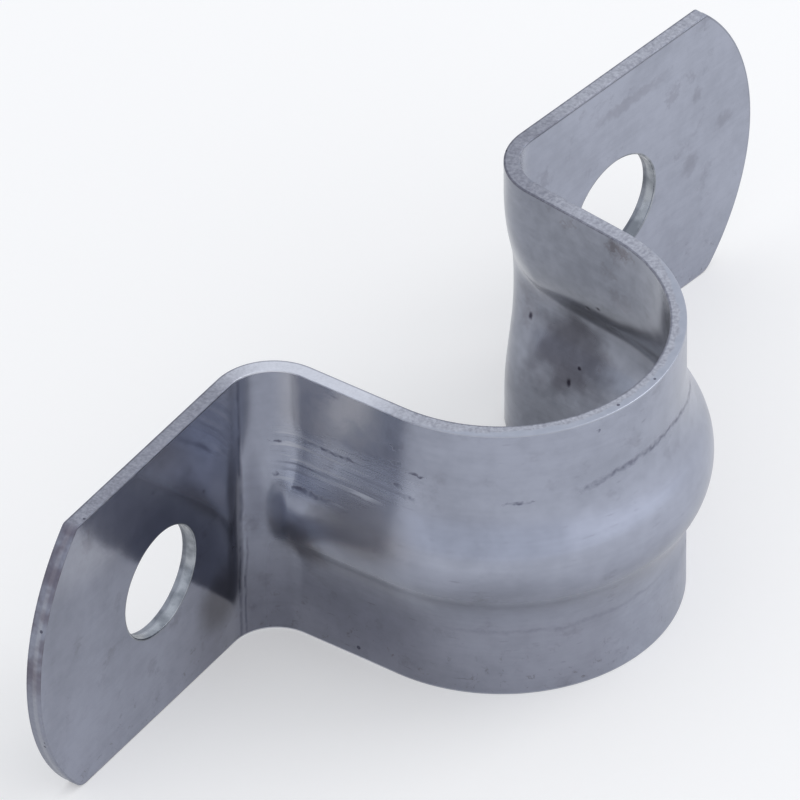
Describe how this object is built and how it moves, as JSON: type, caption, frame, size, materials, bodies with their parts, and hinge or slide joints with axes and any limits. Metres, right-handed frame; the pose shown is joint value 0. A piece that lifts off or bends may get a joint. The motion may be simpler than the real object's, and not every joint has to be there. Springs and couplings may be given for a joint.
{
  "type": "conduit strap",
  "caption": "Two-hole strap of folded stainless sheet: a bow with a stiffening bead seats a round conduit, and flat tabs with rounded ends screw to the wall.",
  "frame": {"origin": "on the axis of the seated conduit, at the strip's lower edge", "axes": "+Z along the conduit, across the strip; +Y from the conduit straight to the wall; X along the strap, from tab to tab"},
  "size_m": [0.0698, 0.0226, 0.02],
  "materials": {
    "stainless_sheet": "mill-finish stainless sheet, satin, lightly scratched"
  },
  "bodies": {
    "root": {"strap": "stainless_sheet"}
  },
  "joints": []
}
